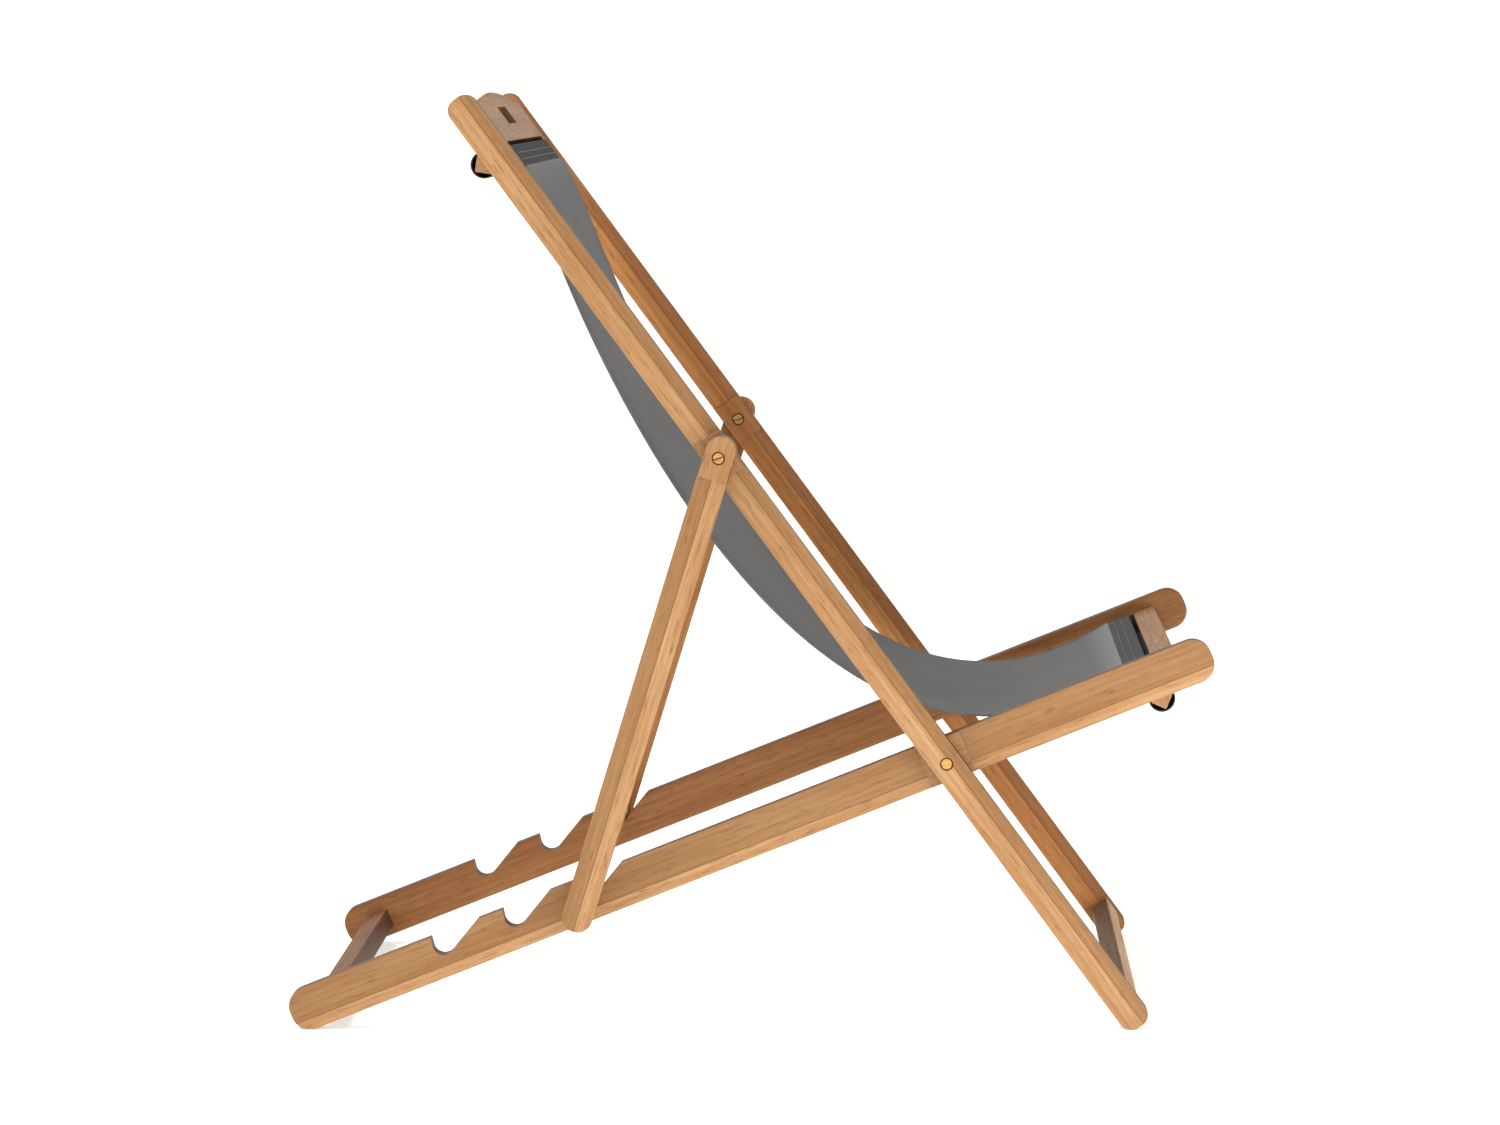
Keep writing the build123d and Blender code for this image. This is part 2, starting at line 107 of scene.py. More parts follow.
# ---------------------------------------------------------------- oiled teak
TEAK = {
    "honey": ("#B88F64", "#A4774C", "#714A26"),
    # painted shade: this and the next tone are darker copies of the teak for the left pieces, whose faces in
    # view lie in shade
    "shaded_brown": ("#B47C48", "#9F6737", "#683A19"),
    "shaded_russet": ("#9A6A3E", "#88572F", "#573015"),
    "greyed": ("#966F48", "#815C3A", "#553922"),
    # painted shade: the darkest tone stands in for the shade that falls on the rear stretcher under the seat
    "shaded_umber": ("#774A26", "#633A19", "#40200C"),
}
RING_SPACING = 8 * MM
FIBRE_WIDTH = 1.2 * MM
PORE_WIDTH = 1.5 * MM  # a real pore is 0.3 mm wide, too fine to show, so it is drawn coarser
RIDGE_LINE = 1.2 * MM  # half the width of the dark line where two facets meet
FACET_TIP = 0.07  # height of a unit normal at which a facet counts as fully the upper or the lower one
FLAT_TIP = 0.04  # height of a unit normal below which a face is no facet and has no ridge line
UPPER_FACET_SHADE, RIDGE_SEAM = 0.5, 0.85  # how far the painted shade on the upper facet, and the ridge line, are mixed towards the tone's dark colour
EDGE_SHADE, EDGE_SHADE_COLOUR = 0.75, "#432A14"  # painted shade on the edge faces and slot walls: how far they are mixed towards this dark colour


def oiled_teak(name, tone, turn, shift, ridge, flat):
    """Planed and oiled teak: golden growth lines along the plank, short dark pores, low sheen.

    The facet above the ridge is darkened with painted shade, and so are the edge faces.
    The ridge is drawn as a thin darker line. turn lays the plank level along Y,
    ridge is its ridge's height there, or None, and flat is the axis that its broad faces look along, or None.
    """
    light, middle, dark = (linear(colour) for colour in TEAK[tone])
    material, tree, output = new_material(name)
    coordinates = node(tree, "ShaderNodeTexCoord").outputs
    turned = node(tree, "ShaderNodeMapping", {"Vector": coordinates["Object"], "Rotation": turn})
    height = node(tree, "ShaderNodeSeparateXYZ", {0: turned.outputs[0]}).outputs[2]
    normal = node(
        tree,
        "ShaderNodeMapping",
        {"Vector": coordinates["Normal"], "Rotation": turn},
        vector_type="VECTOR",
    )
    facing = node(tree, "ShaderNodeSeparateXYZ", {0: normal.outputs[0]}).outputs
    # painted shade: the facet above the ridge is mixed towards the tone's dark colour
    upper_shade_depth, seam_depth = (UPPER_FACET_SHADE, RIDGE_SEAM) if ridge is not None else (0.0, 0.0)
    facet = node(
        tree,
        "ShaderNodeMapRange",
        {0: facing[2], 1: -FACET_TIP, 2: FACET_TIP, 3: 0.0, 4: upper_shade_depth},
    )
    from_ridge = node(tree, "ShaderNodeMath", {0: height, 1: ridge or 0.0}, operation="SUBTRACT")
    off_ridge = node(tree, "ShaderNodeMath", {0: from_ridge.outputs[0]}, operation="ABSOLUTE")
    near_ridge = node(
        tree, "ShaderNodeMapRange", {0: off_ridge.outputs[0], 1: 0.0, 2: RIDGE_LINE, 3: seam_depth, 4: 0.0}
    )
    tipped = node(tree, "ShaderNodeMath", {0: facing[2]}, operation="ABSOLUTE")
    planed_face = node(tree, "ShaderNodeMath", {0: tipped.outputs[0], 1: FLAT_TIP}, operation="GREATER_THAN")
    seam = node(
        tree, "ShaderNodeMath", {0: near_ridge.outputs[0], 1: planed_face.outputs[0]}, operation="MULTIPLY"
    )
    # painted shade: faces that don't look along the broad faces' axis, the edges and slot walls, are mixed
    # towards a dark colour
    broad = node(tree, "ShaderNodeMath", {0: facing[flat or 0]}, operation="ABSOLUTE")
    edge_shade_depth = EDGE_SHADE if flat is not None else 0.0
    edge_shade = node(
        tree, "ShaderNodeMapRange", {0: broad.outputs[0], 1: 0.9, 2: 0.4, 3: 0.0, 4: edge_shade_depth}
    )
    along = node(
        tree, "ShaderNodeVectorMath", {0: turned.outputs[0], 1: shift}, operation="ADD"
    ).outputs[0]
    grain = node(tree, "ShaderNodeMapping", {"Vector": along, "Scale": (1, 0.1, 1)})
    rings = node(
        tree,
        "ShaderNodeTexWave",
        {
            "Vector": grain.outputs[0],
            "Scale": bands(RING_SPACING),
            "Distortion": 11,
            "Detail": 3,
            "Detail Scale": 0.45,
            "Detail Roughness": 0.6,
        },
        wave_type="RINGS",
        rings_direction="Y",
        wave_profile="SAW",
    )
    patches = node(
        tree,
        "ShaderNodeTexNoise",
        {"Vector": grain.outputs[0], "Scale": 45, "Detail": 3, "Roughness": 0.55},
    )
    fine = node(tree, "ShaderNodeMapping", {"Vector": along, "Scale": (1, 0.02, 1)})
    fibres = node(
        tree,
        "ShaderNodeTexNoise",
        {"Vector": fine.outputs[0], "Scale": 1 / FIBRE_WIDTH, "Detail": 3, "Roughness": 0.65},
    )
    short = node(tree, "ShaderNodeMapping", {"Vector": along, "Scale": (1, 0.07, 1)})
    pores = node(
        tree,
        "ShaderNodeTexNoise",
        {"Vector": short.outputs[0], "Scale": 1 / PORE_WIDTH, "Detail": 2, "Roughness": 0.5},
    )
    patchiness = node(
        tree,
        "ShaderNodeMapRange",
        {"Value": patches.outputs[0], "From Min": 0.32, "From Max": 0.68},
    )
    base = node(tree, "ShaderNodeMix", {0: patchiness.outputs[0], 6: light, 7: middle}, data_type="RGBA")
    ring_depth = node(
        tree,
        "ShaderNodeMapRange",
        {"Value": rings.outputs["Fac"], "From Min": 0.35, "From Max": 1, "To Max": 0.24},
    )
    ringed = node(
        tree, "ShaderNodeMix", {0: ring_depth.outputs[0], 6: base.outputs[2], 7: dark}, data_type="RGBA"
    )
    fibre_depth = node(
        tree,
        "ShaderNodeMapRange",
        {"Value": fibres.outputs[0], "From Min": 0.45, "From Max": 0.75, "To Max": 0.4},
    )
    streaked = node(
        tree, "ShaderNodeMix", {0: fibre_depth.outputs[0], 6: ringed.outputs[2], 7: dark}, data_type="RGBA"
    )
    pore_depth = node(
        tree,
        "ShaderNodeMapRange",
        {"Value": pores.outputs[0], "From Min": 0.58, "From Max": 0.7, "To Max": 0.6},
    )
    flecked = node(
        tree, "ShaderNodeMix", {0: pore_depth.outputs[0], 6: streaked.outputs[2], 7: dark}, data_type="RGBA"
    )
    upper_facet_shaded = node(
        tree, "ShaderNodeMix", {0: facet.outputs[0], 6: flecked.outputs[2], 7: dark}, data_type="RGBA"
    )
    ridged = node(
        tree, "ShaderNodeMix", {0: seam.outputs[0], 6: upper_facet_shaded.outputs[2], 7: dark}, data_type="RGBA"
    )
    edge_shaded = node(
        tree,
        "ShaderNodeMix",
        {0: edge_shade.outputs[0], 6: ridged.outputs[2], 7: linear(EDGE_SHADE_COLOUR)},
        data_type="RGBA",
    )
    roughness = node(
        tree,
        "ShaderNodeMapRange",
        {"Value": fibres.outputs[0], "From Min": 0.3, "From Max": 0.7, "To Min": 0.48, "To Max": 0.66},
    )
    relief = node(
        tree,
        "ShaderNodeMath",
        {0: fibres.outputs[0], 1: pore_depth.outputs[0]},
        operation="SUBTRACT",
    )
    bump = node(
        tree,
        "ShaderNodeBump",
        {"Strength": 0.3, "Distance": 0.2 * MM, "Height": relief.outputs[0]},
    )
    shader = node(
        tree,
        "ShaderNodeBsdfPrincipled",
        {
            "Base Color": edge_shaded.outputs[2],
            "Roughness": roughness.outputs[0],
            "IOR": 1.5,
            "Specular IOR Level": 0.2,
            "Normal": bump.outputs[0],
        },
    )
    tree.links.new(shader.outputs[0], output.inputs["Surface"])
    return material


def ridge_height(tilt, pivot, above):
    """Height of a rail's ridge once the rail is turned level."""
    return pivot.z * cos(tilt) - pivot.y * sin(tilt) + above


SEAT_RIDGE, BACK_RIDGE = -8 * MM, 4.5 * MM  # the ridges above the crossing pivot, square to each rail
SEAT = ((-seat_tilt, 0, 0), ridge_height(seat_tilt, crossing, SEAT_RIDGE), 0)
BACK = ((-back_tilt, 0, 0), ridge_height(back_tilt, crossing, BACK_RIDGE), 0)
PROP = ((-prop_tilt, 0, 0), ridge_height(prop_tilt, prop_pivot, 0), 0)
SEAT_BOARD = ((-seat_tilt, 0, pi / 2), None, 2)
BACK_BOARD = ((-back_tilt, 0, pi / 2), None, 2)
ROUND = ((0, 0, pi / 2), None, None)
PLANKS = {
    "seat_rail_right": ("honey", SEAT, (0.31, 0, 0.06)),
    # the left pieces take the darker tones as painted shade
    "seat_rail_left": ("shaded_russet", SEAT, (-0.17, 1, 0.09)),
    "back_rail_right": ("honey", BACK, (0.33, 2, 0.07)),
    "back_rail_left": ("shaded_brown", BACK, (-0.16, 3, 0.05)),
    "prop_leg_right": ("honey", PROP, (0.35, 4, 0.08)),
    "prop_leg_left": ("shaded_brown", PROP, (-0.18, 5, 0.07)),
    "prop_dowel": ("honey", ROUND, (0.05, 6, 0.04)),
    "head_board": ("greyed", BACK_BOARD, (0.04, 7, 0.1)),
    "front_board": ("greyed", SEAT_BOARD, (0.07, 8, 0.06)),
    # painted shade: the rear stretcher lies in shade under the seat
    "rear_stretcher": ("shaded_umber", SEAT_BOARD, (0.05, 9, 0.09)),
    "bottom_stretcher": ("honey", BACK_BOARD, (0.06, 10, 0.05)),
    "head_stick": ("honey", ROUND, (0.03, 11, 0.06)),
    "front_stick": ("honey", ROUND, (0.05, 12, 0.05)),
}


def dress(cad_object, material):
    """Gives a CAD node its finish."""
    cad_object.data.materials.clear()
    cad_object.data.materials.append(material)


for piece, (tone, (turn, ridge, flat), shift) in PLANKS.items():
    dress(frame["nodes"][piece], oiled_teak("oiled_teak_" + piece, tone, turn, shift, ridge, flat))


# ---------------------------------------------------------------- turned brass
LATHE_RING = 0.5 * MM  # a real turning mark is 0.1 mm wide, too fine to show, so it is drawn coarser
TARNISH_PATCH = 4 * MM
SLOT_SHADE = (0.15 * MM, 0.4 * MM)  # depths below the face where the painted shade in the slot starts and is full
RIM_SHADOW = (1.1 * MM, 0.5 * MM)  # distances in from the rim where the painted shadow round the rim starts and is full
SHADE_STRENGTH = 0.9  # how far full painted shade darkens the brass and takes away its metal look


def turned_brass(name, centre, face, inward, rim):
    """Lathe-turned brass, handled but not polished: fine rings, a thin tarnish, painted shade in the slot and
    round the rim.

    face is the head's distance from the middle plane, inward the way it sinks, and rim its radius.
    """
    material, tree, output = new_material(name)
    place = node(tree, "ShaderNodeTexCoord").outputs["Object"]
    centred = node(tree, "ShaderNodeMapping", {"Vector": place, "Location": -centre})
    split = node(tree, "ShaderNodeSeparateXYZ", {0: place})
    out = node(tree, "ShaderNodeMath", {0: split.outputs[0]}, operation="ABSOLUTE")
    # painted shade: darker below the head's face, in the slot
    sunk = node(
        tree,
        "ShaderNodeMapRange",
        {
            0: out.outputs[0],
            1: face + SLOT_SHADE[0] * inward,
            2: face + SLOT_SHADE[1] * inward,
            3: 0.0,
            4: SHADE_STRENGTH,
        },
    )
    disc = node(tree, "ShaderNodeVectorMath", {0: centred.outputs[0], 1: (0, 1, 1)}, operation="MULTIPLY")
    radius = node(tree, "ShaderNodeVectorMath", {0: disc.outputs[0]}, operation="LENGTH")
    # painted shadow: a dark ring just inside the rim
    outer = node(
        tree,
        "ShaderNodeMapRange",
        {0: radius.outputs["Value"], 1: rim - RIM_SHADOW[0], 2: rim - RIM_SHADOW[1], 3: 0.0, 4: SHADE_STRENGTH},
    )
    painted_shade = node(tree, "ShaderNodeMath", {0: sunk.outputs[0], 1: outer.outputs[0]}, operation="MAXIMUM")
    rings = node(
        tree,
        "ShaderNodeTexWave",
        {"Vector": centred.outputs[0], "Scale": bands(LATHE_RING), "Distortion": 0.6, "Detail": 1},
        wave_type="RINGS",
        rings_direction="X",
    )
    tarnish = node(
        tree,
        "ShaderNodeTexNoise",
        {"Vector": centred.outputs[0], "Scale": 1 / TARNISH_PATCH, "Detail": 4, "Roughness": 0.6},
    )
    tarnished = node(
        tree,
        "ShaderNodeMapRange",
        {"Value": tarnish.outputs[0], "From Min": 0.45, "From Max": 0.7, "To Max": 0.7},
    )
    colour = node(
        tree,
        "ShaderNodeMix",
        {0: tarnished.outputs[0], 6: linear("#B98C55"), 7: linear("#8E673A")},
        data_type="RGBA",
    )
    # painted shade is mixed in towards a very dark colour and takes away the metal look
    shaded_brass = node(
        tree,
        "ShaderNodeMix",
        {0: painted_shade.outputs[0], 6: colour.outputs[2], 7: linear("#2E1E10")},
        data_type="RGBA",
    )
    unshaded = node(tree, "ShaderNodeMath", {0: 1.0, 1: painted_shade.outputs[0]}, operation="SUBTRACT")
    roughness = node(
        tree,
        "ShaderNodeMapRange",
        {"Value": tarnish.outputs[0], "From Min": 0.3, "From Max": 0.7, "To Min": 0.36, "To Max": 0.58},
    )
    bump = node(
        tree,
        "ShaderNodeBump",
        {"Strength": 0.25, "Distance": 0.06 * MM, "Height": rings.outputs["Fac"]},
    )
    shader = node(
        tree,
        "ShaderNodeBsdfPrincipled",
        {
            "Base Color": shaded_brass.outputs[2],
            "Metallic": unshaded.outputs[0],
            "Roughness": roughness.outputs[0],
            "Normal": bump.outputs[0],
        },
    )
    tree.links.new(shader.outputs[0], output.inputs["Surface"])
    return material


for pivot, centre in (("crossing", crossing), ("prop", prop_pivot)):
    for part in ("bolt", "nut", "washer"):
        for hand in ("right", "left"):
            piece = pivot + "_" + part + "_" + hand
            low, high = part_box(piece)
            near, far = sorted((abs(low.x), abs(high.x)))
            face, inward = (near, 1) if part == "nut" else (far, -1)
            finish = turned_brass("turned_brass_" + piece, centre, face, inward, (high.z - low.z) / 2)
            dress(frame["nodes"][piece], finish)


# ---------------------------------------------------------------- woven canvas
SLEEVE_SHADE_FROM = 1 * MM  # the painted shade on a sleeve starts this far in from each of its ends and is full at twice that
SLEEVE_SHADE = 0.7  # how far the sleeves are mixed towards the painted shade's colour
HIGHLIGHT_REACH = 30 * MM  # how far from the boards' edges the hanging cloth carries a painted highlight
HEAD_HIGHLIGHT, FRONT_HIGHLIGHT = 0.2, 0.5  # how far it is mixed towards the painted highlight's colour at each board's edge
YARN = 1.4 * MM  # a real yarn is 0.6 mm wide, too fine to show, so it is drawn coarser


def woven_canvas():
    """Acrylic canvas: a fine, dull plain weave, with a painted highlight where it hangs from the boards.

    Painted shade darkens it from each board's edge back through the slot and round the stick.
    """
    material, tree, output = new_material("woven_grey_canvas")
    cloth = node(tree, "ShaderNodeUVMap", uv_map="UVMap").outputs[0]
    wander = node(tree, "ShaderNodeTexNoise", {"Vector": cloth, "Scale": 60, "Detail": 2})
    shift = node(
        tree,
        "ShaderNodeVectorMath",
        {0: wander.outputs["Color"], 1: (0.6 * MM, 0.6 * MM, 0)},
        operation="MULTIPLY",
    )
    laid = node(tree, "ShaderNodeVectorMath", {0: cloth, 1: shift.outputs[0]}, operation="ADD")
    warp = node(
        tree,
        "ShaderNodeTexWave",
        {"Vector": laid.outputs[0], "Scale": bands(YARN)},
        bands_direction="X",
    )
    weft = node(
        tree,
        "ShaderNodeTexWave",
        {"Vector": laid.outputs[0], "Scale": bands(YARN)},
        bands_direction="Y",
    )
    over = node(tree, "ShaderNodeTexChecker", {"Vector": laid.outputs[0], "Scale": 1 / YARN})
    weave = node(
        tree,
        "ShaderNodeMix",
        {0: over.outputs["Fac"], 2: warp.outputs["Fac"], 3: weft.outputs["Fac"]},
    )
    shade = node(
        tree,
        "ShaderNodeMapRange",
        {"Value": weave.outputs[0], "To Min": 0.0, "To Max": 1.0},
    )
    yarns = node(
        tree,
        "ShaderNodeMix",
        {0: shade.outputs[0], 6: linear("#636362"), 7: linear("#6F6E6E")},
        data_type="RGBA",
    )
    faded = node(tree, "ShaderNodeTexNoise", {"Vector": cloth, "Scale": 9, "Detail": 3})
    fading = node(
        tree,
        "ShaderNodeMapRange",
        {"Value": faded.outputs[0], "From Min": 0.35, "From Max": 0.7, "To Max": 0.2},
    )
    colour = node(
        tree,
        "ShaderNodeMix",
        {0: fading.outputs[0], 6: yarns.outputs[2], 7: linear("#777774")},
        data_type="RGBA",
    )
    down = node(tree, "ShaderNodeSeparateXYZ", {0: cloth}).outputs[1]
    # painted highlight: paler near each board's edge where the cloth hangs
    at_head = node(
        tree,
        "ShaderNodeMapRange",
        {0: down, 1: slack_from + HIGHLIGHT_REACH, 2: slack_from, 3: 0.0, 4: HEAD_HIGHLIGHT},
    )
    at_front = node(
        tree,
        "ShaderNodeMapRange",
        {0: down, 1: slack_to - HIGHLIGHT_REACH, 2: slack_to, 3: 0.0, 4: FRONT_HIGHLIGHT},
    )
    at_boards = node(tree, "ShaderNodeMath", {0: at_head.outputs[0], 1: at_front.outputs[0]}, operation="ADD")
    highlighted = node(
        tree,
        "ShaderNodeMix",
        {0: at_boards.outputs[0], 6: colour.outputs[2], 7: linear("#8E8E8C")},
        data_type="RGBA",
    )
    # painted shade on the sleeves, from each board's edge through the slot and round the stick
    dark_ends = []
    for start, stop in ((HEM_TAIL, slack_from), (slack_to, cloth_length - HEM_TAIL)):
        reach = (stop - start) / 2
        along = node(tree, "ShaderNodeMath", {0: down, 1: (start + stop) / 2}, operation="SUBTRACT")
        off = node(tree, "ShaderNodeMath", {0: along.outputs[0]}, operation="ABSOLUTE")
        dark_ends.append(
            node(
                tree,
                "ShaderNodeMapRange",
                {0: off.outputs[0], 1: reach - SLEEVE_SHADE_FROM, 2: reach - 2 * SLEEVE_SHADE_FROM, 3: 0.0, 4: SLEEVE_SHADE},
            ).outputs[0]
        )
    darkness = node(tree, "ShaderNodeMath", {0: dark_ends[0], 1: dark_ends[1]}, operation="ADD")
    darkened = node(
        tree,
        "ShaderNodeMix",
        {0: darkness.outputs[0], 6: highlighted.outputs[2], 7: linear("#2C2C30")},
        data_type="RGBA",
    )
    bump = node(
        tree,
        "ShaderNodeBump",
        {"Strength": 0.3, "Distance": 0.2 * MM, "Height": weave.outputs[0]},
    )
    shader = node(
        tree,
        "ShaderNodeBsdfPrincipled",
        {
            "Base Color": darkened.outputs[2],
            "Roughness": 0.95,
            "IOR": 1.45,
            "Specular IOR Level": 0.0,
            "Normal": bump.outputs[0],
        },
    )
    tree.links.new(shader.outputs[0], output.inputs["Surface"])
    return material


THREAD_TWIST = 1 * MM


def sewing_thread():
    """Bonded polyester thread: a little darker and glossier than the canvas."""
    material, tree, output = new_material("bonded_thread")
    place = node(tree, "ShaderNodeTexCoord").outputs["Object"]
    twist = node(tree, "ShaderNodeTexNoise", {"Vector": place, "Scale": 1 / THREAD_TWIST, "Detail": 1})
    colour = node(
        tree,
        "ShaderNodeMix",
        {0: twist.outputs[0], 6: linear("#5A5A59"), 7: linear("#6C6C6B")},
        data_type="RGBA",
    )
    shader = node(
        tree, "ShaderNodeBsdfPrincipled", {"Base Color": colour.outputs[2], "Roughness": 0.5, "IOR": 1.5}
    )
    tree.links.new(shader.outputs[0], output.inputs["Surface"])
    return material


# ---------------------------------------------------------------- the sling's line
CLOTH = 1.0 * MM
PLY = 1.1 * MM  # from one layer of cloth to the next
LIFT = 0.3 * MM  # cloth's underside above the wood
HEM_TAIL = 24 * MM  # end of the cloth beyond the slot
TUCK = 0.6 * MM  # the cloth is drawn against the slot's edge
LOOP = 13.7 * MM  # radius of the sleeve's middle line round the stick
LOOP_GAP = radians(6)  # half the opening of that loop, where the cloth goes through the slot
LOOP_STEPS, HANG_STEPS = 34, 60
HEAD_FACE, HEAD_EDGE = 13 * MM, 759 * MM  # the head board's face and lower edge from the crossing pivot
FRONT_FACE, FRONT_EDGE = 12 * MM, -206 * MM  # the front board's face and rear edge from it
HEAD_DIP, FRONT_DIP = radians(21.4), radians(10.5)  # how steeply the cloth leaves each board's face
HEAD_PULL, FRONT_PULL = 200 * MM, 379 * MM  # how far each of those slopes leads its curve


def sleeve(tilt, face, at, onward):
    """Folded end of the cloth: tail on the board, slot, loop round the stick, slot again.

    onward is 1 where the cloth leaves the slot towards the rear of its frame's u, and -1 towards the front.
    """
    u0, v0 = at
    slot = u0 + onward * TUCK
    low = face + LIFT + CLOTH / 2
    line = [
        (u0 + onward * HEM_TAIL, low),
        (slot + onward * PLY, low),
        (slot + onward * PLY / 2, low - PLY / 2),
        (slot + onward * PLY / 2, low - PLY * 2),
    ]
    for i in range(LOOP_STEPS + 1):
        a = LOOP_GAP + (2 * pi - 2 * LOOP_GAP) * i / LOOP_STEPS
        line.append((u0 + onward * LOOP * sin(a), v0 + LOOP * cos(a)))
    top = low + PLY
    line += [
        (slot - onward * PLY / 2, top - PLY * 3),
        (slot - onward * PLY / 2, top - PLY),
        (slot + onward * PLY / 4, top),
    ]
    return [from_frame(tilt, u, v) for u, v in line]


def hang():
    """Sling between the two boards."""
    a = from_frame(back_tilt, HEAD_EDGE, HEAD_FACE + LIFT + CLOTH / 2 + PLY)
    d = from_frame(seat_tilt, FRONT_EDGE, FRONT_FACE + LIFT + CLOTH / 2 + PLY)
    fall, climb = back_tilt + HEAD_DIP + pi, seat_tilt - FRONT_DIP
    b = a + HEAD_PULL * Vector((0, cos(fall), sin(fall)))
    c = d + FRONT_PULL * Vector((0, cos(climb), sin(climb)))
    points = []
    for i in range(HANG_STEPS + 1):
        t = i / HANG_STEPS
        points.append((1 - t) ** 3 * a + 3 * t * (1 - t) ** 2 * b + 3 * t * t * (1 - t) * c + t**3 * d)
    return points


def run(points):
    """Length of a line."""
    return sum((q - p).length for p, q in zip(points, points[1:]))


head_end = sleeve(back_tilt, HEAD_FACE, in_frame(back_tilt, head_stick), -1)
front_end = sleeve(seat_tilt, FRONT_FACE, in_frame(seat_tilt, front_stick), 1)
between = hang()
cloth_line = head_end + between + front_end[::-1]
cloth_length = run(cloth_line)
sling_low, sling_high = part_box("sling")
cloth_width = sling_high.x - sling_low.x
slack_from = run(head_end + between[:1])
slack_to = cloth_length - run([between[-1]] + front_end[::-1])


# ---------------------------------------------------------------- cloth and stitches by rule
def new_group(name, inputs):
    """Geometry node group with named inputs and one geometry output."""
    group = bpy.data.node_groups.new(name, "GeometryNodeTree")
    for label, kind in inputs:
        group.interface.new_socket(label, in_out="INPUT", socket_type=kind)
    group.interface.new_socket("Geometry", in_out="OUTPUT", socket_type="NodeSocketGeometry")
    return group, node(group, "NodeGroupInput").outputs


PATCH_INPUTS = [
    ("Line", "NodeSocketGeometry"),
    ("Across From", "NodeSocketFloat"),
    ("Across To", "NodeSocketFloat"),
    ("Along From", "NodeSocketFloat"),
    ("Along To", "NodeSocketFloat"),
    ("Lift", "NodeSocketFloat"),
    ("Columns", "NodeSocketInt"),
    ("Rows", "NodeSocketInt"),
]


def cloth_patch():
    """Node group: a patch of cloth laid along the sling's line, between two widths and two lengths."""
    group, given = new_group("cloth_patch", PATCH_INPUTS)
    grid = node(
        group,
        "GeometryNodeMeshGrid",
        {"Size X": 1.0, "Size Y": 1.0, "Vertices X": given["Columns"], "Vertices Y": given["Rows"]},
    )
    spot = node(group, "ShaderNodeSeparateXYZ", {0: node(group, "GeometryNodeInputPosition").outputs[0]})
    across = node(
        group,
        "ShaderNodeMapRange",
        {0: spot.outputs[0], 1: -0.5, 2: 0.5, 3: given["Across From"], 4: given["Across To"]},
    )
    along = node(
        group,
        "ShaderNodeMapRange",
        {0: spot.outputs[1], 1: -0.5, 2: 0.5, 3: given["Along From"], 4: given["Along To"]},
    )
    flat = node(group, "ShaderNodeCombineXYZ", {0: across.outputs[0], 1: along.outputs[0]})
    mapped = node(
        group,
        "GeometryNodeStoreNamedAttribute",
        {"Geometry": grid.outputs["Mesh"], "Name": "UVMap", "Value": flat.outputs[0]},
        data_type="FLOAT2",
        domain="CORNER",
    )
    curve = node(group, "GeometryNodeMeshToCurve", {0: given["Line"]})
    sample = node(
        group,
        "GeometryNodeSampleCurve",
        {"Curves": curve.outputs[0], "Length": along.outputs[0]},
        mode="LENGTH",
    )
    outward = node(
        group,
        "ShaderNodeVectorMath",
        {0: sample.outputs["Tangent"], 1: (1, 0, 0)},
        operation="CROSS_PRODUCT",
    )
    hanging = node(
        group,
        "ShaderNodeMapRange",
        {0: along.outputs[0], 1: slack_from, 2: slack_to},
    )
    arch = node(group, "ShaderNodeMath", {0: hanging.outputs[0], 1: pi}, operation="MULTIPLY")
    swell = node(group, "ShaderNodeMath", {0: arch.outputs[0]}, operation="SINE")
    early = node(group, "ShaderNodeMath", {0: hanging.outputs[0], 1: 0.35}, operation="POWER")
    bend = node(group, "ShaderNodeMath", {0: early.outputs[0], 1: pi}, operation="MULTIPLY")
    crest = node(group, "ShaderNodeMath", {0: bend.outputs[0]}, operation="SINE")
    upper = node(group, "ShaderNodeMath", {0: crest.outputs[0], 1: crest.outputs[0]}, operation="MULTIPLY")
    share = node(group, "ShaderNodeMath", {0: across.outputs[0], 1: cloth_width / 2}, operation="DIVIDE")
    square = node(group, "ShaderNodeMath", {0: share.outputs[0], 1: share.outputs[0]}, operation="MULTIPLY")
    middle = node(group, "ShaderNodeMath", {0: 1.0, 1: square.outputs[0]}, operation="SUBTRACT")
    belly = node(group, "ShaderNodeMath", {0: middle.outputs[0], 1: -BELLY}, operation="MULTIPLY")
    sunk = node(group, "ShaderNodeMath", {0: belly.outputs[0], 1: swell.outputs[0]}, operation="MULTIPLY")
    leftward = node(group, "ShaderNodeMapRange", {0: share.outputs[0], 1: -1.0, 2: 1.0, 3: 0.0, 4: SKEW})
    skew = node(group, "ShaderNodeMath", {0: leftward.outputs[0], 1: upper.outputs[0]}, operation="MULTIPLY")
    sag = node(group, "ShaderNodeMath", {0: sunk.outputs[0], 1: skew.outputs[0]}, operation="ADD")
    height = node(group, "ShaderNodeMath", {0: sag.outputs[0], 1: given["Lift"]}, operation="ADD")
    raised = node(
        group,
        "ShaderNodeVectorMath",
        {0: outward.outputs[0], "Scale": height.outputs[0]},
        operation="SCALE",
    )
    sideways = node(group, "ShaderNodeCombineXYZ", {0: across.outputs[0]})
    offset = node(
        group, "ShaderNodeVectorMath", {0: raised.outputs[0], 1: sideways.outputs[0]}, operation="ADD"
    )
    place = node(
        group,
        "ShaderNodeVectorMath",
        {0: sample.outputs["Position"], 1: offset.outputs[0]},
        operation="ADD",
    )
    shaped = node(
        group, "GeometryNodeSetPosition", {0: mapped.outputs[0], "Position": place.outputs[0]}
    )
    node(group, "NodeGroupOutput", {0: shaped.outputs[0]})
    return group


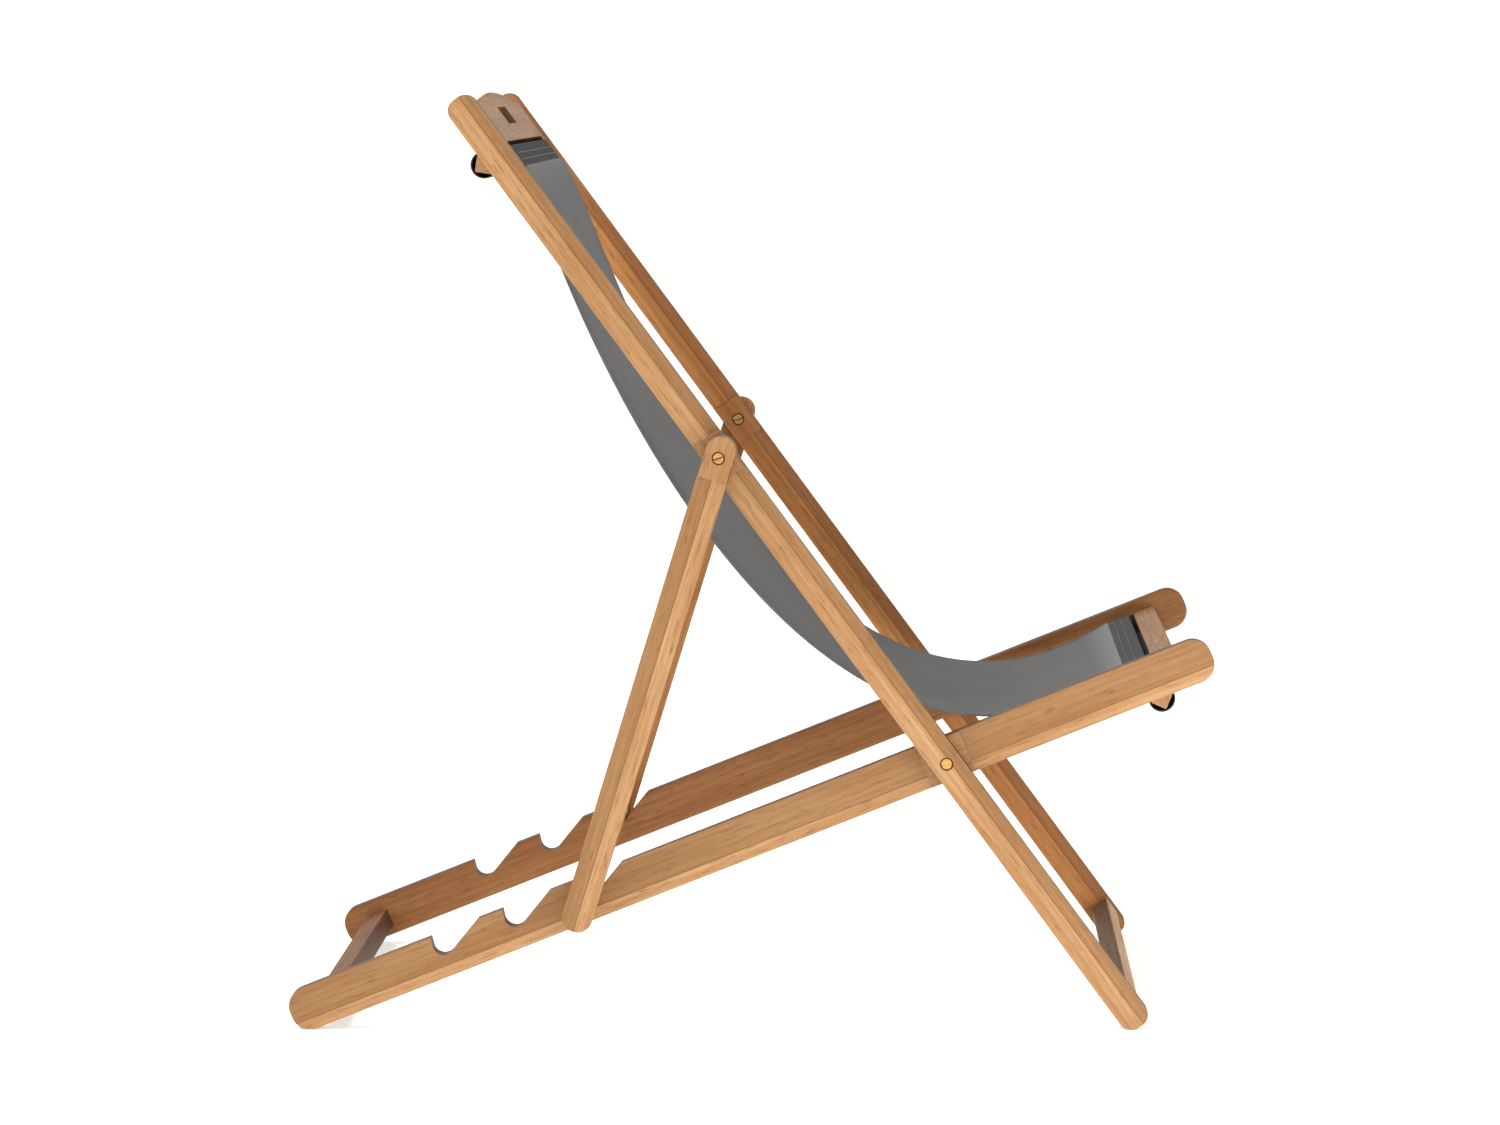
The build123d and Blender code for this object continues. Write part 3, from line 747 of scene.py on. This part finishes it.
BELLY = 4 * MM  # how far the cloth's middle sags behind its edges
SKEW = 13 * MM  # how far the left edge hangs in front of the right edge, below the head board
HEM = 11 * MM  # width of cloth folded under along each side
SIDE_SEAM = 8 * MM  # from the side edge
TAIL_SEAMS = (10 * MM, 18 * MM)  # from the slot
SEAM_INSET = 4 * MM  # from each side edge to the ends of the seams across
STITCH_PITCH = 4 * MM
STITCH = (1.5 * MM, 0.32 * MM, 0.32 * MM)  # half a stitch's length, width and height
CLOTH_COLUMNS, HEM_COLUMNS, CLOTH_ROWS, SEAM_ROWS = 36, 3, 520, 400
patch_group = cloth_patch()
half = cloth_width / 2
head_slot, front_slot = run(head_end), cloth_length - run(front_end)
hem_from, hem_to = head_slot + HEM_TAIL, front_slot - HEM_TAIL


def run_nodes(name, line, inputs, build):
    """Runs a geometry node tree on the sling's line and returns the result as a plain mesh object."""
    start = bpy.data.meshes.new(name + "_line")
    start.from_pydata(line, [(i, i + 1) for i in range(len(line) - 1)], [])
    carrier = bpy.data.objects.new(name + "_carrier", start)
    bpy.context.scene.collection.objects.link(carrier)
    group, given = new_group(name, [("Geometry", "NodeSocketGeometry")] + inputs["sockets"])
    build(group, given)
    modifier = carrier.modifiers.new("shape", "NODES")
    modifier.node_group = group
    for item in group.interface.items_tree:
        if item.in_out == "INPUT" and item.name in inputs["values"]:
            modifier[item.identifier] = inputs["values"][item.name]
    if "thickness" in inputs:
        carrier.modifiers.new("thickness", "SOLIDIFY").thickness = inputs["thickness"]
        carrier.modifiers["thickness"].offset = 0
    bpy.context.view_layer.update()
    graph = bpy.context.evaluated_depsgraph_get()
    mesh = bpy.data.meshes.new_from_object(carrier.evaluated_get(graph))
    mesh.name = name
    made = bpy.data.objects.new(name, mesh)
    bpy.context.scene.collection.objects.link(made)
    bpy.data.objects.remove(carrier)
    return made


def build_cloth(group, given):
    """Main cloth and its two turned side hems."""
    patches = [
        (-half, half, 0.0, cloth_length, 0.0, CLOTH_COLUMNS, given["Rows"]),
        (-half, -half + HEM, hem_from, hem_to, -PLY, HEM_COLUMNS, given["Rows"]),
        (half - HEM, half, hem_from, hem_to, -PLY, HEM_COLUMNS, given["Rows"]),
    ]
    laid = []
    for patch in patches:
        sockets = dict(zip((label for label, _ in PATCH_INPUTS), (given["Geometry"], *patch)))
        laid.append(node(group, "GeometryNodeGroup", sockets, node_tree=patch_group))
    return laid


def sling_tree(group, given):
    """Joins the patches of cloth and gives them their finish."""
    joined = node(group, "GeometryNodeJoinGeometry")
    for patch in build_cloth(group, given):
        group.links.new(patch.outputs[0], joined.inputs[0])
    smooth = node(group, "GeometryNodeSetShadeSmooth", {0: joined.outputs[0]})
    real = node(group, "GeometryNodeRealizeInstances", {0: smooth.outputs[0]})
    finished = node(group, "GeometryNodeSetMaterial", {0: real.outputs[0], "Material": given["Material"]})
    node(group, "NodeGroupOutput", {0: finished.outputs[0]})


def stitch_tree(group, given):
    """Rows of thread: short rounded stitches spaced along each seam, on both faces of the cloth."""
    top, under = CLOTH / 2, -CLOTH / 2
    rows = []
    for side in (-1, 1):
        at = side * (half - SIDE_SEAM)
        for lift in (top, under - PLY):
            rows.append((at, at, hem_from, hem_to, lift, 1, SEAM_ROWS))
    for seam in TAIL_SEAMS:
        for at in (head_slot + seam, front_slot - seam):
            rows.append((-half + SEAM_INSET, half - SEAM_INSET, at, at, top, 2, 1))
    joined = node(group, "GeometryNodeJoinGeometry")
    for row in rows:
        sockets = dict(zip((label for label, _ in PATCH_INPUTS), (given["Geometry"], *row)))
        line = node(group, "GeometryNodeGroup", sockets, node_tree=patch_group)
        group.links.new(line.outputs[0], joined.inputs[0])
    seams = node(group, "GeometryNodeMeshToCurve", {0: joined.outputs[0]})
    spaced = node(
        group,
        "GeometryNodeResampleCurve",
        {"Curve": seams.outputs[0], "Length": given["Pitch"]},
        mode="LENGTH",
    )
    tangent = node(group, "GeometryNodeInputTangent")
    aim = node(group, "FunctionNodeAlignRotationToVector", {"Vector": tangent.outputs[0]}, axis="X")
    bead = node(group, "GeometryNodeMeshUVSphere", {"Segments": 6, "Rings": 4, "Radius": 1.0})
    thread = node(
        group,
        "GeometryNodeTransform",
        {"Geometry": bead.outputs[0], "Scale": STITCH},
    )
    sewn = node(
        group,
        "GeometryNodeInstanceOnPoints",
        {"Points": spaced.outputs[0], "Instance": thread.outputs[0], "Rotation": aim.outputs[0]},
    )
    real = node(group, "GeometryNodeRealizeInstances", {0: sewn.outputs[0]})
    smooth = node(group, "GeometryNodeSetShadeSmooth", {0: real.outputs[0]})
    finished = node(group, "GeometryNodeSetMaterial", {0: smooth.outputs[0], "Material": given["Material"]})
    node(group, "NodeGroupOutput", {0: finished.outputs[0]})


sling = run_nodes(
    "sling_cloth",
    cloth_line,
    {
        "sockets": [("Rows", "NodeSocketInt"), ("Material", "NodeSocketMaterial")],
        "values": {"Rows": CLOTH_ROWS, "Material": woven_canvas()},
        "thickness": CLOTH,
    },
    sling_tree,
)
stitches = run_nodes(
    "sling_stitches",
    cloth_line,
    {
        "sockets": [("Pitch", "NodeSocketFloat"), ("Material", "NodeSocketMaterial")],
        "values": {"Pitch": STITCH_PITCH, "Material": sewing_thread()},
    },
    stitch_tree,
)
for cloth_piece in (sling, stitches):
    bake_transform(cloth_piece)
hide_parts("sling")


# ---------------------------------------------------------------- studio
FLOOR_GLOW, AIR_GLOW = 0.42, 0.45  # lift the floor to plain white and fill the shadows
SOFTBOXES = {  # place, point it faces, width and height in metres, watts
    "low_key": ((-1.4, -0.7, 0.08), (0, -0.3, 0.5), (2.2, 0.4), 8.5),
    "overhead": ((-0.5, 1.5, 3.2), (0, -0.2, 0.3), (2, 2), 98),
    "camera_fill": ((-4.5, -1.5, 1.6), (0, 0, 0.5), (2.5, 2.5), 7),
    "front_key": ((-1.0, -1.5, 0.3), (0, -0.5, 0.3), (0.9, 0.5), 6),
}


def painted_floor():
    """Matt white studio paint with the faint unevenness of a roller."""
    material, tree, output = new_material("matt_white_paint")
    place = node(tree, "ShaderNodeTexCoord").outputs["Object"]
    uneven = node(tree, "ShaderNodeTexNoise", {"Vector": place, "Scale": 3, "Detail": 2})
    colour = node(
        tree,
        "ShaderNodeMix",
        {0: uneven.outputs[0], 6: linear("#F2F2F0"), 7: linear("#F6F6F4")},
        data_type="RGBA",
    )
    shader = node(
        tree,
        "ShaderNodeBsdfPrincipled",
        {
            "Base Color": colour.outputs[2],
            "Roughness": 0.9,
            "Emission Color": linear("#FFFFFF"),
            "Emission Strength": FLOOR_GLOW,
        },
    )
    tree.links.new(shader.outputs[0], output.inputs["Surface"])
    return material


def make_bowl():
    """Round studio floor that curves up into a wall, so that no edge shows from any side."""
    flat, bend, wall, around = 8.0, 4.0, 10.0, 72
    profile = [(flat * i / 4, 0.0) for i in range(1, 5)]
    for i in range(1, 17):
        a = pi / 2 * i / 16
        profile.append((flat + bend * sin(a), bend - bend * cos(a)))
    profile.append((flat + bend, wall))
    points, faces = [(0, 0, 0)], []
    for radius, z in profile:
        for k in range(around):
            points.append((radius * cos(2 * pi * k / around), radius * sin(2 * pi * k / around), z))
    for k in range(around):
        after = (k + 1) % around
        faces.append((0, 1 + k, 1 + after))
        for ring in range(len(profile) - 1):
            low, high = 1 + ring * around, 1 + (ring + 1) * around
            faces.append((low + k, high + k, high + after, low + after))
    mesh = bpy.data.meshes.new("studio_bowl")
    mesh.from_pydata(points, [], faces)
    mesh.polygons.foreach_set("use_smooth", [True] * len(faces))
    mesh.materials.append(painted_floor())
    bowl = bpy.data.objects.new("studio_bowl", mesh)
    bpy.context.scene.collection.objects.link(bowl)
    return bowl


def soft_light(name, at, toward, size, power):
    """Rectangular softbox that the camera doesn't see."""
    lamp = bpy.data.lights.new(name, "AREA")
    lamp.shape = "RECTANGLE"
    lamp.size, lamp.size_y = size
    lamp.energy = power
    box = bpy.data.objects.new(name, lamp)
    box.location = at
    box.rotation_euler = (Vector(toward) - Vector(at)).to_track_quat("-Z", "Y").to_euler()
    box.visible_camera = False
    bpy.context.scene.collection.objects.link(box)


make_bowl()
for softbox, (at, toward, size, power) in SOFTBOXES.items():
    soft_light(softbox, at, toward, size, power)
world = bpy.data.worlds.new("studio_air")
world.use_nodes = True
world.node_tree.nodes["Background"].inputs["Color"].default_value = linear("#FFFFFF")
world.node_tree.nodes["Background"].inputs["Strength"].default_value = AIR_GLOW
bpy.context.scene.world = world
bpy.context.scene.view_settings.view_transform = "Standard"


# ---------------------------------------------------------------- camera
CAMERA_AT = (-4.7195, -0.1782, 0.9943)
CAMERA_TURN, CAMERA_DROP, CAMERA_ROLL = radians(2.198), radians(6.356), radians(-0.746)
SENSOR_WIDTH, FOCAL_LENGTH = 36, 103.8  # in mm


def make_camera():
    """Long lens almost square on to the chair's right side, slightly above it."""
    turn, drop, roll = CAMERA_TURN, CAMERA_DROP, CAMERA_ROLL
    forward = Vector((cos(drop) * cos(turn), cos(drop) * sin(turn), -sin(drop)))
    right = forward.cross(Vector((0, 0, 1))).normalized()
    up = right.cross(forward)
    x_axis = cos(roll) * right + sin(roll) * up
    y_axis = cos(roll) * up - sin(roll) * right
    lens = bpy.data.cameras.new("studio_camera")
    lens.sensor_width = SENSOR_WIDTH
    lens.lens = FOCAL_LENGTH
    camera = bpy.data.objects.new("studio_camera", lens)
    aim = Matrix((x_axis, y_axis, -forward)).transposed()
    camera.matrix_world = Matrix.Translation(CAMERA_AT) @ aim.to_4x4()
    bpy.context.scene.collection.objects.link(camera)
    bpy.context.scene.camera = camera


make_camera()
